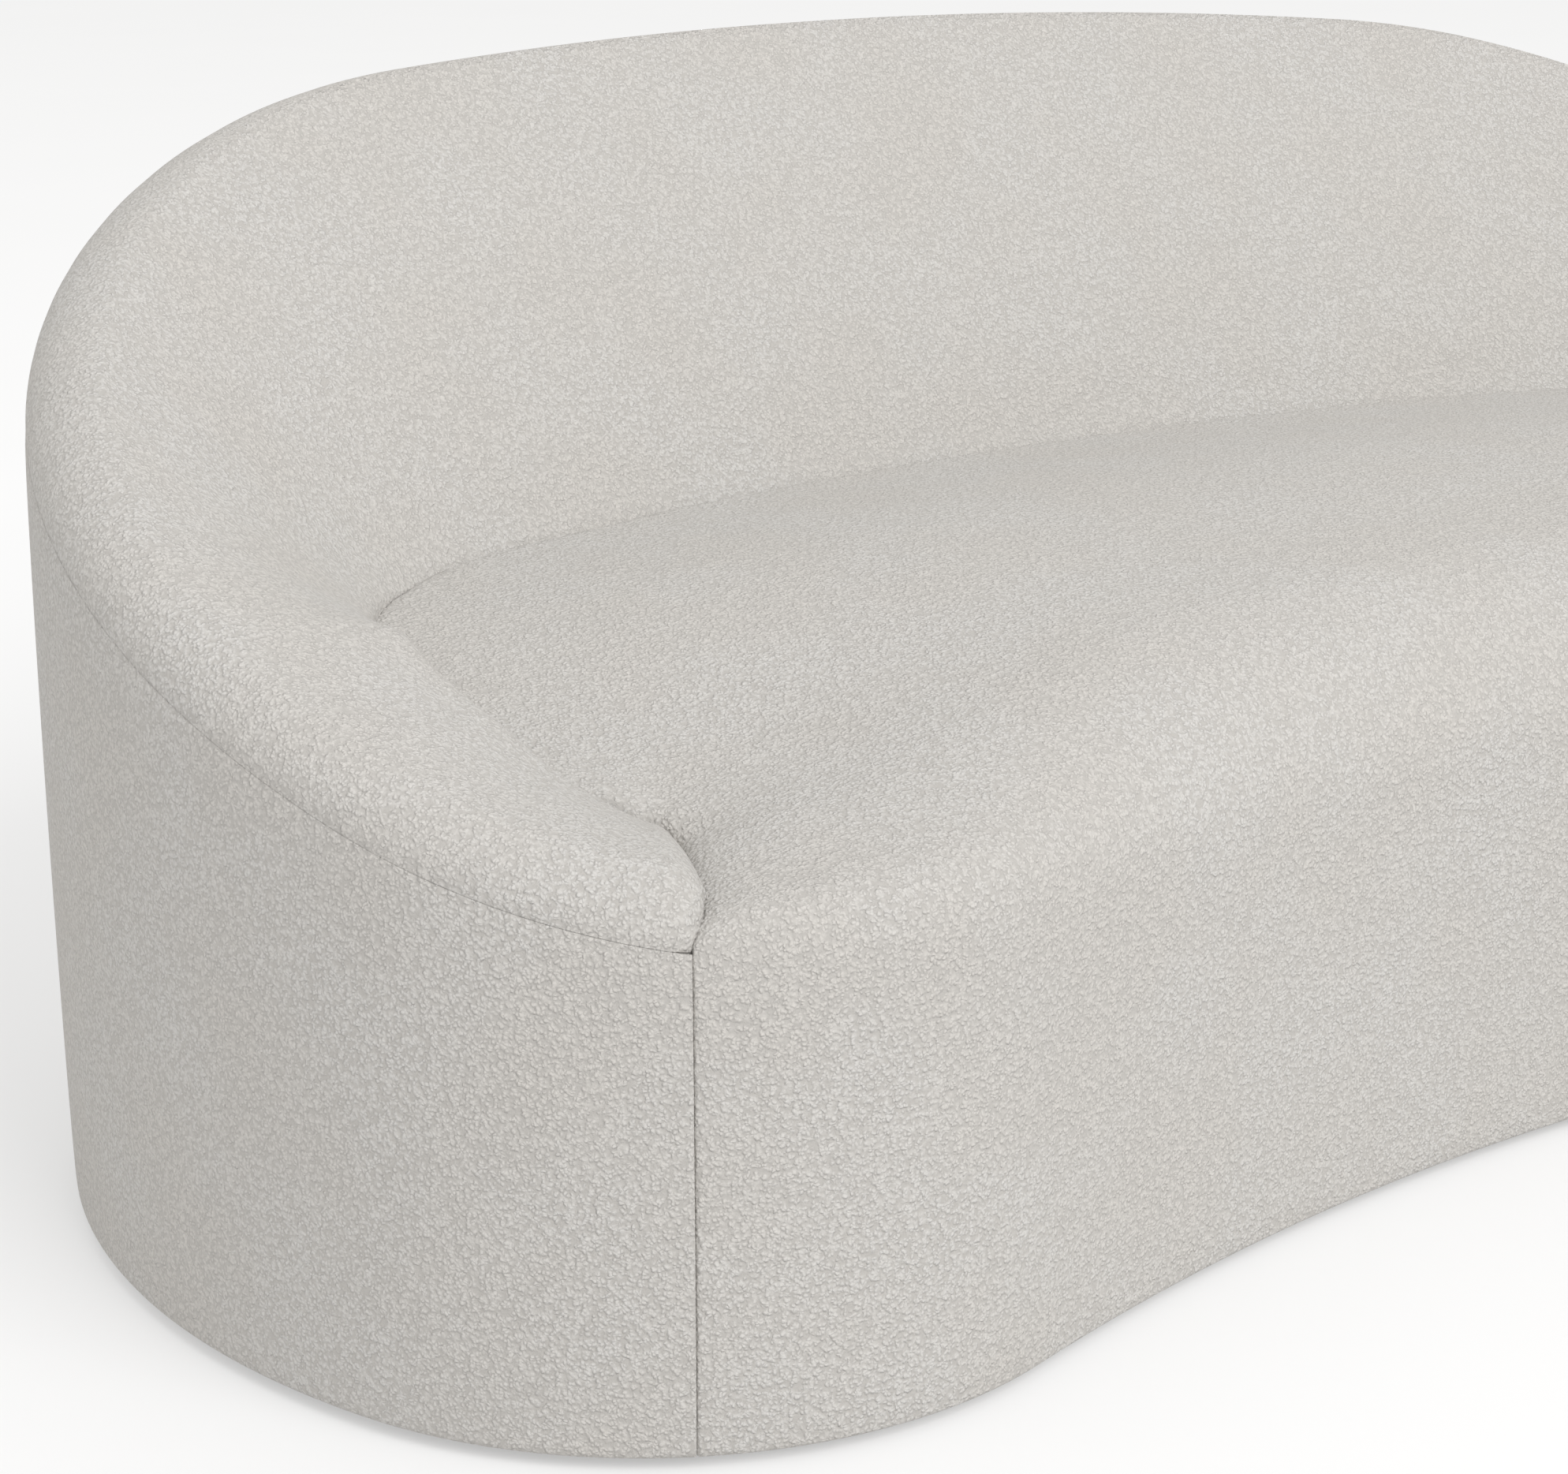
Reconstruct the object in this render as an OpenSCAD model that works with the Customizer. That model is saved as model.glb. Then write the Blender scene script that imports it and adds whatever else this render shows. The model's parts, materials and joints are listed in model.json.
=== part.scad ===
// Curved, fully upholstered kidney-shaped sofa: plywood rings and ribs, webbing, foam and fabric covers.
// Millimetres, +Z up, sitter faces -Y, origin on the floor under the middle of the sofa.

/* [Overall size] */
// Width over the arms
sofa_w = 2000; // [1650:10:2400]
// Depth from the back to the front of the arms
sofa_d = 1050; // [1030:10:1260]
// Height of the back
sofa_h = 780; // [700:10:940]

/* [Plan shape] */
// Radius of the rear corners
corner_r = 580; // [480:10:600]
// Angle that a rear corner's curve runs on past the widest point
corner_turn = 24; // [10:0.5:30]
// Radius of the rounded arm fronts
lobe_r = 325; // [300:10:380]
// Radius of the hollow front
front_r = 1950; // [1500:50:3000]
// Angle from the foremost point of an arm round to its front seam
seam_angle = 28; // [10:1:30]

/* [Back and arms] */
// Height of the outer seam at the front of the arms
seam_front_h = 320; // [315:5:390]
// Rise from the outer seam to the top of the back
back_edge_rise = 76; // [50:5:90]
// Rise from the outer seam to the top of an arm
arm_edge_rise = 42; // [30:1:50]
// Plan width of the back, from its outer face to the seat
back_w = 360; // [300:10:420]
// Plan width of an arm
arm_w = 180; // [160:5:200]
// Distance round the outline from the middle of the back to where the back starts to narrow
narrow_start = 600; // [500:20:800]
// Distance round the outline to where it has narrowed to the arm
narrow_end = 1500; // [1500:20:1700]

/* [Seat] */
// Height of the seat's top
seat_h = 440; // [420:5:490]
// Height that the rolled front edge drops
roll_drop = 130; // [80:5:130]
// Distance that the rolled front edge reaches back
roll_run = 150; // [120:5:155]
// Height of the top of the seat deck
deck_top = 300; // [280:5:310]
// Thickness of the soft layer on top of the seat foam
topper_t = 35; // [20:5:50]
// Number of fore-and-aft webbing straps
strap_count = 13; // [9:2:15]
// Width of a webbing strap
strap_w = 60; // [40:5:70]

/* [Frame] */
// Thickness of the base ring
base_ply_t = 18; // [15:1:24]
// Thickness of the seat deck
deck_ply_t = 18; // [15:1:24]
// Thickness of a rib
rib_t = 18; // [15:1:24]
// Width of the base ring
base_ring_w = 110; // [90:5:140]
// Width of the seat deck in front of its opening
deck_front_w = 80; // [60:5:120]
// Side of a square post
post_side = 45; // [35:1:50]
// Thickness of the curved front apron
apron_t = 10; // [8:1:12]
// Thickness of the outer wall board
board_t = 5; // [3:1:8]
// Thickness of the curved top rail
rail_t = 27; // [18:1:36]
// Height of the curved top rail
rail_h = 40; // [30:5:50]

/* [Cover] */
// Thickness of the cover fabric
fabric_t = 3; // [2:0.5:5]
// Thickness of the wadding under the outer cover
wadding_t = 10; // [6:1:15]
// Height of the fabric's lower edge above the floor
hem_h = 8; // [5:1:15]

/* [Feet] */
// Diameter of a foot
foot_d = 70; // [50:2:90]
// Height of a foot with its glide
foot_h = 30; // [24:1:40]
// Thickness of a felt glide
glide_t = 3; // [2:0.5:5]
// Diameter of a foot screw's shank
screw_d = 6; // [5:0.5:8]

/* [Hidden] */
$fn = 48;

small_gap = 0.5;
big = 4000;

// Layers, counted inward from the outer face
board_in = fabric_t + wadding_t;
frame_in = board_in + board_t;

// Levels
base_bottom = foot_h;
base_top = base_bottom + base_ply_t;
deck_bottom = deck_top - deck_ply_t;
seam_back_h = sofa_h - back_edge_rise;
rake = (seam_back_h - seam_front_h) / sofa_d;
layer_drop = 8;
tack_t = 2;
strap_t = 2;
hessian_t = 1;
hessian_z = deck_top + 2 * strap_t + small_gap;
foam_z = hessian_z + hessian_t + small_gap;

// Plan: centres of the arcs on the left half, each arc running smoothly into the next
lobe_y = -sofa_d / 2 + lobe_r;
corner_c = [-(sofa_w / 2 - corner_r), lobe_y + (corner_r - lobe_r) * sin(corner_turn)];
back_gap = sofa_d / 2 - corner_c[1];
back_r = (pow(corner_c[0], 2) + pow(back_gap, 2) - pow(corner_r, 2)) / (2 * (back_gap - corner_r));
back_c = [0, sofa_d / 2 - back_r];
lobe_c = [corner_c[0] - (corner_r - lobe_r) * cos(corner_turn), lobe_y];
front_c = [0, lobe_y - sqrt(pow(front_r + lobe_r, 2) - pow(lobe_c[0], 2))];

// Angles at which one arc passes into the next
back_end = atan2(corner_c[1] - back_c[1], corner_c[0] - back_c[0]);
corner_end = 180 + corner_turn;
seam_at = 270 - seam_angle;
lobe_end = 360 + atan2(front_c[1] - lobe_c[1], front_c[0] - lobe_c[0]);
front_end = atan2(lobe_c[1] - front_c[1], lobe_c[0] - front_c[0]);

// Lengths round the outline from the middle of the back
back_len = back_r * (back_end - 90) * PI / 180;
corner_len = corner_r * (corner_end - back_end) * PI / 180;

// A station on the outline is [point, inward direction, distance from the middle of the back]
function station(c, r, a, turn, dist) = [c + r * [cos(a), sin(a)], -turn * [cos(a), sin(a)], dist];
function flip(s) = [[-s[0][0], s[0][1]], [-s[1][0], s[1][1]], s[2]];
function reversed(list) = [for (i = [len(list) - 1:-1:0]) list[i]];

back_steps = 5;
corner_steps = 14;
lobe_steps = 7;
nose_steps = 6;
front_steps = 7;

half_wall = concat(
    [for (i = [0:back_steps - 1])
        let (a = 90 + (back_end - 90) * i / back_steps)
        station(back_c, back_r, a, 1, back_len * i / back_steps)],
    [for (i = [0:corner_steps - 1])
        let (a = back_end + (corner_end - back_end) * i / corner_steps)
        station(corner_c, corner_r, a, 1, back_len + corner_len * i / corner_steps)],
    [for (i = [0:lobe_steps])
        let (a = corner_end + (seam_at - corner_end) * i / lobe_steps)
        station(lobe_c, lobe_r, a, 1, back_len + corner_len + lobe_r * (a - corner_end) * PI / 180)]);
half_front = concat(
    [for (i = [1:nose_steps])
        let (a = seam_at + (lobe_end - seam_at) * i / nose_steps)
        station(lobe_c, lobe_r, a, 1, 0)],
    [for (i = [1:front_steps])
        let (a = front_end + (90 - front_end) * i / front_steps)
        station(front_c, front_r, a, -1, 0)]);

// The wall runs from the left front seam round the back to the right one, and the front closes the outline
wall = concat(reversed(half_wall), [for (i = [1:len(half_wall) - 1]) flip(half_wall[i])]);
front = concat([for (s = half_front) flip(s)], [for (i = [len(half_front) - 2:-1:0]) half_front[i]]);

function inset(s, t) = s[0] + t * s[1];
function outline(t) = concat([for (s = wall) inset(s, t)], [for (s = front) inset(s, t)]);

// Plan width of the back and arms at a station
function ease(x) = let (t = min(1, max(0, x))) t * t * (3 - 2 * t);
function arm_share(s) = ease((s[2] - narrow_start) / (narrow_end - narrow_start));
function band_w(s) = back_w + (arm_w - back_w) * arm_share(s);
function edge_rise(s) = back_edge_rise + (arm_edge_rise - back_edge_rise) * arm_share(s);

// Height of the raked outer seam
function seam_z(p) = seam_front_h + rake * (p[1] + sofa_d / 2);

// Visible section of the back and arms, a layer d under its face, as [distance inward, height]
edge_steps = 4;
slope_steps = 4;
ridge_r = 30;
ridge_over_seam = 18;
ridge_over_seat = 25;
function ridge_z(s) = min(seam_z(s[0]) + ridge_over_seam, seat_h + ridge_over_seat);
function face(s, d) =
    let (z0 = seam_z(s[0]), rise = edge_rise(s), w = band_w(s), zr = ridge_z(s))
    concat(
        [[d, seam_z(inset(s, d))]],
        [for (i = [1:edge_steps])
            let (a = 180 - 90 * i / edge_steps)
            [d + (rise - d) * (1 + cos(a)), z0 + (rise - d) * sin(a)]],
        [for (i = [1:slope_steps])
            let (k = i / slope_steps, u = rise + (w - ridge_r - rise) * k)
            [u - d * 0.5 * k, z0 + rise + (zr - z0 - rise) * k - d]],
        [[w - d, zr - ridge_r], [w - d, deck_top + 2 * small_gap]]);

// Under side of the foam, clear of the ribs and of the top rail, whose tops lie on the rake
rib_clear = 6;
rib_foot_h = 60;
rib_foot_in = 70;
rib_top_w = 70;
foam_edge = fabric_t + small_gap;
rail_in = frame_in + small_gap;
rail_out = rail_in + rail_t + 1;
function over_deck(z) = max(z, deck_top + 4);
function rib_top(s) = seam_z(s[0]) - layer_drop - tack_t;
function rib_crest(s, u) = min(rib_top(s), rib_top([inset(s, u)]));
function under(s) =
    let (w = band_w(s), foot = w - rib_foot_in + rib_clear, edge = rib_top_w + 2 * rib_clear,
         top = over_deck(rib_crest(s, edge) + rib_clear))
    [[foot, deck_top + 2 * small_gap],
     [foot, min(deck_top + rib_foot_h + rib_clear, top)],
     [edge, top],
     [rail_out, over_deck(seam_z(inset(s, rail_out)) - layer_drop + small_gap)],
     [foam_edge, over_deck(seam_z(inset(s, foam_edge)) - layer_drop + small_gap)]];

// A solid swept along stations, from one closed section for each station
function place(s, q) = [s[0][0] + s[1][0] * q[0], s[0][1] + s[1][1] * q[0], q[1]];
module sweep(rings) {
    n = len(rings[0]);
    m = len(rings);
    pts = [for (r = rings) for (p = r) p];
    faces = concat(
        [[for (j = [0:n - 1]) j]],
        [for (i = [0:m - 2]) for (j = [0:n - 1])
            let (k = (j + 1) % n, a = i * n + j, b = a + n, c = i * n + k, d = c + n,
                 short = norm(pts[b] - pts[c]) <= norm(pts[a] - pts[d]))
            for (f = short ? [[a, b, c], [c, b, d]] : [[a, b, d], [a, d, c]])
            f],
        [[for (j = [n - 1:-1:0]) (m - 1) * n + j]]);
    polyhedron(points = pts, faces = faces, convexity = 8);
}

module band(stations, outer, inner) {
    sweep([for (s = stations) [for (q = concat(face(s, outer), reversed(face(s, inner)))) place(s, q)]]);
}

// Flat shapes
module ring2d(t0, t1) {
    difference() {
        polygon(outline(t0));
        polygon(outline(t1));
    }
}

module strip(path, t0, t1) {
    polygon(concat([for (s = path) inset(s, t0)], reversed([for (s = path) inset(s, t1)])));
}

module wall_ring(t0, t1) {
    strip(wall, t0, t1);
}

module front_ring(t0, t1) {
    strip(concat([wall[len(wall) - 1]], front, [wall[0]]), t0, t1);
}

// Everything under the raked plane, lowered by drop
module under_rake(drop) {
    y0 = -sofa_d;
    y1 = sofa_d;
    rotate([90, 0, 90])
        linear_extrude(big, center = true)
            polygon([[y0, -big], [y1, -big], [y1, seam_z([0, y1]) - drop], [y0, seam_z([0, y0]) - drop]]);
}

module raked_wall(t0, t1, z0, drop) {
    intersection() {
        translate([0, 0, z0])
            linear_extrude(sofa_h)
                wall_ring(t0, t1);
        under_rake(drop);
    }
}

// Seat opening in the deck, and the seat's own plan with a given front inset
function past_seam(side) =
    let (turn = (side + small_gap) / (lobe_r - arm_w) * 180 / PI)
    station(lobe_c, lobe_r, seam_at + turn, 1, back_len + corner_len + lobe_r);
function seat_corner(side, lead, z) =
    let (s = past_seam(side))
    [inset(s, arm_w + side + side_fall(s, z)), inset(s, lead)];
function mirrored(p) = [-p[0], p[1]];
function seat_plan(side, lead, z) =
    let (corner = seat_corner(side, lead, z))
    concat(
        [for (s = wall) inset(s, band_w(s) + side + side_fall(s, z))],
        [for (p = corner) mirrored(p)],
        [for (s = front) inset(s, lead)],
        reversed(corner));

// The seat's rounded fall to an arm that is lower than it: how far its side is drawn in at a height
fall_margin = 35;
fall_run = min(110, lobe_r - arm_w - fall_margin);
fall_slope = 2;
fall_under = 8;
function fall_height(s) = max(0, seat_h + fall_under - ridge_z(s));
function fall_share(s, z) = fall_height(s) > 0 ? min(1, max(0, 1 - (seat_h - z) / fall_height(s))) : 0;
function side_fall(s, z) =
    let (run = min(fall_run, fall_slope * fall_height(s)))
    run * (1 - sqrt(1 - pow(fall_share(s, z), 2)));

// Opening in the deck, kept clear of the arm fronts; grow makes it larger all round
deck_lip = 30;
tip = 1;
function opening_tip(s, grow) = [inset(s, arm_w + deck_lip - grow), inset(s, frame_in + deck_front_w - grow)];
function opening(grow) = concat(
    [for (s = wall) inset(s, band_w(s) + deck_lip - grow)],
    [for (p = opening_tip(half_front[tip], grow)) mirrored(p)],
    [for (i = [tip + 1:len(front) - 2 - tip]) inset(front[i], frame_in + deck_front_w - grow)],
    reversed(opening_tip(half_front[tip], grow)));

// Places for posts and feet, as stations on the outline
post_margin = 12;
post_in = frame_in + post_side / 2 + post_margin;
half_post_ids = [3, 8, 12, 16, 20, 24];
post_stations = concat([half_wall[0]],
                       [for (i = half_post_ids) half_wall[i]],
                       [for (i = half_post_ids) flip(half_wall[i])]);
front_post_ids = [5, 9];
front_posts = concat([for (i = front_post_ids) half_front[i]],
                     [for (i = front_post_ids) flip(half_front[i])]);
all_posts = concat(post_stations, front_posts);
foot_stations = [half_wall[3], flip(half_wall[3]), half_wall[16], flip(half_wall[16]),
                 half_front[2], flip(half_front[2]), half_front[12]];
foot_margin = 14;
foot_in = frame_in + base_ring_w / 2 + foot_margin;

module on_station(s, t) {
    p = inset(s, t);
    translate([p[0], p[1], 0])
        rotate(atan2(s[1][1], s[1][0]))
            children();
}

// Base ring of plywood, standing on the feet
foot_shank = 16;
screw_play = 0.3;
module base_ring() {
    color("burlywood")
    difference() {
        translate([0, 0, base_bottom])
            linear_extrude(base_ply_t)
                ring2d(frame_in + small_gap, frame_in + base_ring_w);
        for (s = foot_stations)
            on_station(s, foot_in)
                translate([0, 0, base_bottom - 1])
                    cylinder(d = screw_d + 2 * screw_play, h = foot_shank + 1);
    }
}

// Cross rails that tie the front and back of the base ring
cross_w = 80;
cross_x = [-520, 0, 520];
module base_cross_rails() {
    color("burlywood")
    translate([0, 0, base_bottom])
        linear_extrude(base_ply_t)
            intersection() {
                polygon(outline(frame_in + base_ring_w));
                for (x = cross_x)
                    translate([x - cross_w / 2, -sofa_d])
                        square([cross_w, 2 * sofa_d]);
            }
}

// Low turned hardwood feet, hidden inside the fabric's lower edge
head_d = 2 * screw_d;
head_h = 4;
module feet() {
    color("peru")
    for (s = foot_stations)
        on_station(s, foot_in)
            difference() {
                translate([0, 0, glide_t])
                    cylinder(d = foot_d, h = foot_h - glide_t);
                cylinder(d = screw_d + 2 * screw_play, h = foot_h + 1);
                translate([0, 0, glide_t - 1])
                    cylinder(d = head_d + 2 * screw_play, h = head_h + 2 + 1);
            }
}

glide_margin = 5;
module foot_glides() {
    color("dimgray")
    for (s = foot_stations)
        on_station(s, foot_in)
            cylinder(d = foot_d - 2 * glide_margin, h = glide_t);
}

module foot_screws() {
    color("silver")
    for (s = foot_stations)
        on_station(s, foot_in)
            translate([0, 0, glide_t + 2]) {
                cylinder(d = head_d, h = head_h);
                cylinder(d = screw_d, h = base_bottom + foot_shank - 1 - glide_t - 2);
            }
}

// Posts between the base ring and the seat deck
deck_screw_d = 5;
deck_screw_l = 60;
module lower_posts() {
    color("wheat")
    for (s = all_posts)
        on_station(s, post_in)
            difference() {
                translate([-post_side / 2, -post_side / 2, base_top])
                    cube([post_side, post_side, deck_bottom - base_top]);
                translate([0, 0, deck_top - deck_screw_l - 1])
                    cylinder(d = deck_screw_d + 2 * screw_play, h = deck_screw_l + 2);
            }
}

// Curved plywood apron behind the front wadding
module front_apron() {
    color("burlywood")
    translate([0, 0, base_top])
        linear_extrude(deck_bottom - base_top)
            front_ring(frame_in + small_gap, frame_in + apron_t);
}

// Seat deck of plywood with one large opening for the webbing
module seat_deck() {
    color("burlywood")
    difference() {
        translate([0, 0, deck_bottom])
            linear_extrude(deck_ply_t)
                difference() {
                    polygon(outline(frame_in + small_gap));
                    polygon(opening(0));
                }
        for (s = all_posts)
            on_station(s, post_in) {
                translate([0, 0, deck_bottom - 1])
                    cylinder(d = deck_screw_d + 2 * screw_play, h = deck_ply_t + 2);
                translate([0, 0, deck_top - head_h])
                    cylinder(d = 2 * deck_screw_d + 2 * screw_play, h = head_h + 1);
            }
    }
}

module deck_screws() {
    color("silver")
    for (s = all_posts)
        on_station(s, post_in)
            translate([0, 0, deck_top - deck_screw_l]) {
                cylinder(d = deck_screw_d, h = deck_screw_l - small_gap);
                translate([0, 0, deck_screw_l - head_h + screw_play])
                    cylinder(d = 2 * deck_screw_d, h = head_h - small_gap - screw_play);
            }
}

// Hardwood bearers under the deck, from the back of the opening to its front
bearer_t = 30;
bearer_h = 70;
bearer_x = 150;
module seat_bearers() {
    color("wheat")
    translate([0, 0, deck_bottom - bearer_h])
        linear_extrude(bearer_h)
            intersection() {
                polygon(outline(frame_in + apron_t + small_gap));
                for (side = [-1, 1])
                    translate([side * bearer_x - bearer_t / 2, -sofa_d])
                        square([bearer_t, 2 * sofa_d]);
            }
}

// Rib boards that stand on the deck and carry the foam
function rib_shape(s) =
    let (foot = band_w(s) - rib_foot_in)
    [[rail_in, deck_top], [foot, deck_top], [foot, min(deck_top + rib_foot_h, rib_top(s))],
     [rib_top_w, rib_crest(s, rib_top_w)], [rail_in, rib_top(s)]];
module rib(s) {
    difference() {
        intersection() {
            translate([s[0][0], s[0][1], 0])
                rotate(atan2(s[1][1], s[1][0]))
                    rotate([90, 0, 0])
                        linear_extrude(rib_t, center = true)
                            polygon(rib_shape(s));
            under_rake(layer_drop + tack_t + rib_clear / 2);
            linear_extrude(sofa_h)
                polygon(outline(frame_in + small_gap));
        }
        rail_body(board_in, rail_out, rail_h + small_gap);
    }
}

// Band between two insets, hanging from the underside of the card strip
module rail_body(t0, t1, h) {
    difference() {
        intersection() {
            translate([0, 0, deck_top])
                linear_extrude(sofa_h)
                    wall_ring(t0, t1);
            under_rake(layer_drop + tack_t);
        }
        under_rake(layer_drop + tack_t + h);
    }
}

back_rib_ids = [2, 5, 8, 11];
arm_rib_ids = [14, 17, 19];
module back_ribs() {
    color("burlywood") {
        rib(half_wall[0]);
        for (i = back_rib_ids) {
            rib(half_wall[i]);
            rib(flip(half_wall[i]));
        }
    }
}

module left_arm_ribs() {
    color("burlywood")
    for (i = arm_rib_ids)
        rib(half_wall[i]);
}

module right_arm_ribs() {
    color("burlywood")
    for (i = arm_rib_ids)
        rib(flip(half_wall[i]));
}

// Steel angle brackets that hold the ribs to the deck
bracket_l = 50;
bracket_t = 3;
bracket_in = 60;
module bracket(s) {
    on_station(s, bracket_in)
        translate([0, rib_t / 2 + 0.1, deck_top + 0.1]) {
            cube([bracket_l, bracket_t, bracket_l]);
            cube([bracket_l, bracket_l, bracket_t]);
        }
}

module rib_brackets() {
    color("silver") {
        bracket(half_wall[0]);
        for (i = back_rib_ids) {
            bracket(half_wall[i]);
            bracket(flip(half_wall[i]));
        }
    }
}

// Curved top rail let into the ribs just under the raked seam
module top_rail() {
    color("wheat")
    rail_body(rail_in, rail_in + rail_t, rail_h);
}

// Card strip on the rail that keeps the seam straight
module tack_strip() {
    color("tan")
    difference() {
        intersection() {
            translate([0, 0, deck_top])
                linear_extrude(sofa_h)
                    wall_ring(rail_in, rail_in + rail_t);
            under_rake(layer_drop);
        }
        under_rake(layer_drop + tack_t - 0.01);
    }
}

// Outer wall: board, wadding and cover, from the floor gap up to the raked seam
board_lift = 6;
wadding_lift = 4;
module outer_board() {
    color("tan")
    raked_wall(board_in, frame_in, hem_h + board_lift, layer_drop);
}

module outer_wadding() {
    color("white")
    raked_wall(fabric_t, board_in, hem_h + wadding_lift, layer_drop);
}

module outer_cover() {
    color("gainsboro")
    raked_wall(0, fabric_t, hem_h, 0);
}

module front_wadding() {
    color("white")
    translate([0, 0, hem_h + wadding_lift])
        linear_extrude(deck_top - hem_h - wadding_lift)
            front_ring(fabric_t, frame_in);
}

// Elastic webbing across the opening
strap_grip = 25;
strap_margin = 110;
module webbing_long() {
    color("black")
    translate([0, 0, deck_top])
        linear_extrude(strap_t)
            intersection() {
                polygon(opening(strap_grip));
                for (i = [0:strap_count - 1])
                    translate([-strap_span / 2 + strap_pitch * i - strap_w / 2, -sofa_d])
                        square([strap_w, 2 * sofa_d]);
            }
}
strap_span = sofa_w - 2 * (arm_w + deck_lip + strap_margin);
strap_pitch = strap_span / (strap_count - 1);

cross_straps = [-250, -130, -10];
module webbing_cross() {
    color("black")
    translate([0, 0, deck_top + strap_t])
        linear_extrude(strap_t)
            intersection() {
                polygon(opening(strap_grip));
                for (y = cross_straps)
                    translate([-sofa_w, y - strap_w / 2])
                        square([2 * sofa_w, strap_w]);
            }
}

// Hessian sheet between the webbing and the seat foam
module seat_hessian() {
    color("tan")
    translate([0, 0, hessian_z])
        linear_extrude(hessian_t)
            polygon(opening(strap_grip));
}

// Seat: its plan at each height, a layer d under its face, drawn in towards the top at the rolled front edge
roll_steps = 6;
side_gap = 1.5;
roll_z0 = seat_h - roll_drop;
roll_zs = [for (i = [0:roll_steps]) roll_z0 + roll_drop * sin(90 * i / roll_steps)];
function roll_inset(z) = roll_run * (1 - sqrt(max(0, 1 - pow(max(0, z - roll_z0) / roll_drop, 2))));
function seat_ring(z, d) =
    [for (p = seat_plan(side_gap + d, roll_inset(z) + d, z)) [p[0], p[1], z - (z > roll_z0 ? d : 0)]];
end_clear = 1;
module seat_block(z0, z1, d) {
    near = 2;
    zs = [for (z = roll_zs) if (z > z0 + d + near && z < z1 + d - near) z];
    ends = d + end_clear;
    sweep(reversed(concat(
        [seat_low(z0, ends)],
        [for (z = zs) seat_ring(z, d)],
        [seat_ring(z1 + ends, ends)])));
}
function seat_low(z, d) = [for (p = seat_plan(side_gap + d, roll_inset(z + d) + d, z + d)) [p[0], p[1], z]];
core_top = seat_h - foam_edge - topper_t;

module seat_foam_core() {
    color("khaki")
    seat_block(foam_z, core_top, foam_edge);
}

module seat_foam_topper() {
    color("lightyellow")
    seat_block(core_top + small_gap, seat_h - foam_edge, foam_edge);
}

// Seat cover: a shell over the seat's top and its rolled edge
module seat_cover() {
    color("gainsboro")
    sweep(concat(
        reversed([for (z = roll_zs) seat_ring(z, 0)]),
        [seat_low(foam_z, 0), seat_low(foam_z, fabric_t)],
        [for (z = roll_zs) seat_ring(z, fabric_t)]));
}

// Front cover: it carries the seat cover on down to the hem
module front_cover() {
    color("gainsboro")
    translate([0, 0, hem_h])
        linear_extrude(foam_z - small_gap - hem_h)
            front_ring(0, fabric_t);
}

// Hessian over the ribs, under the back foam
function wall_part(a, b) = [for (i = [a:b]) wall[i]];
last = len(wall) - 1;
middle = len(half_wall) - 1;
arm_split = 12;
module back_foam() {
    color("khaki")
    foam_part(middle - arm_split, middle + arm_split);
}
module left_arm_foam() {
    color("khaki")
    foam_part(0, middle - arm_split);
}
module right_arm_foam() {
    color("khaki")
    foam_part(middle + arm_split, last);
}
module foam_part(a, b) {
    sweep([for (s = wall_part(a, b)) [for (q = concat(face(s, foam_edge), under(s))) place(s, q)]]);
}

module back_hessian() {
    color("tan")
    sweep([for (s = wall_part(middle - arm_split, middle + arm_split))
        let (q = under(s))
        [for (p = [q[1] - [3, 0], q[2] - [3, 0], q[2] - [2, 0], q[1] - [2, 0]]) place(s, p)]]);
}

// Inside cover: one long piece over the back and both arms, from the raked seam down to the deck
module back_cover() {
    color("gainsboro")
    band(wall, 0, fabric_t);
}

// Black dust cover under the base ring
dust_t = 1;
dust_in = 8;
module dust_cover() {
    color("black")
    translate([0, 0, base_bottom - dust_t - small_gap])
        linear_extrude(dust_t)
            difference() {
                polygon(outline(frame_in + dust_in));
                for (s = foot_stations)
                    on_station(s, foot_in)
                        circle(d = foot_d + 2);
            }
}

base_ring();
base_cross_rails();
feet();
foot_glides();
foot_screws();
lower_posts();
front_apron();
seat_deck();
deck_screws();
seat_bearers();
back_ribs();
left_arm_ribs();
right_arm_ribs();
rib_brackets();
top_rail();
tack_strip();
outer_board();
outer_wadding();
outer_cover();
front_wadding();
webbing_long();
webbing_cross();
seat_hessian();
seat_foam_core();
seat_foam_topper();
seat_cover();
front_cover();
back_hessian();
back_foam();
left_arm_foam();
right_arm_foam();
back_cover();
dust_cover();
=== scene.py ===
"""Looks of the curved sofa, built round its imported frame. Metres, +Z up, the sitter faces -Y."""
import math

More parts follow.
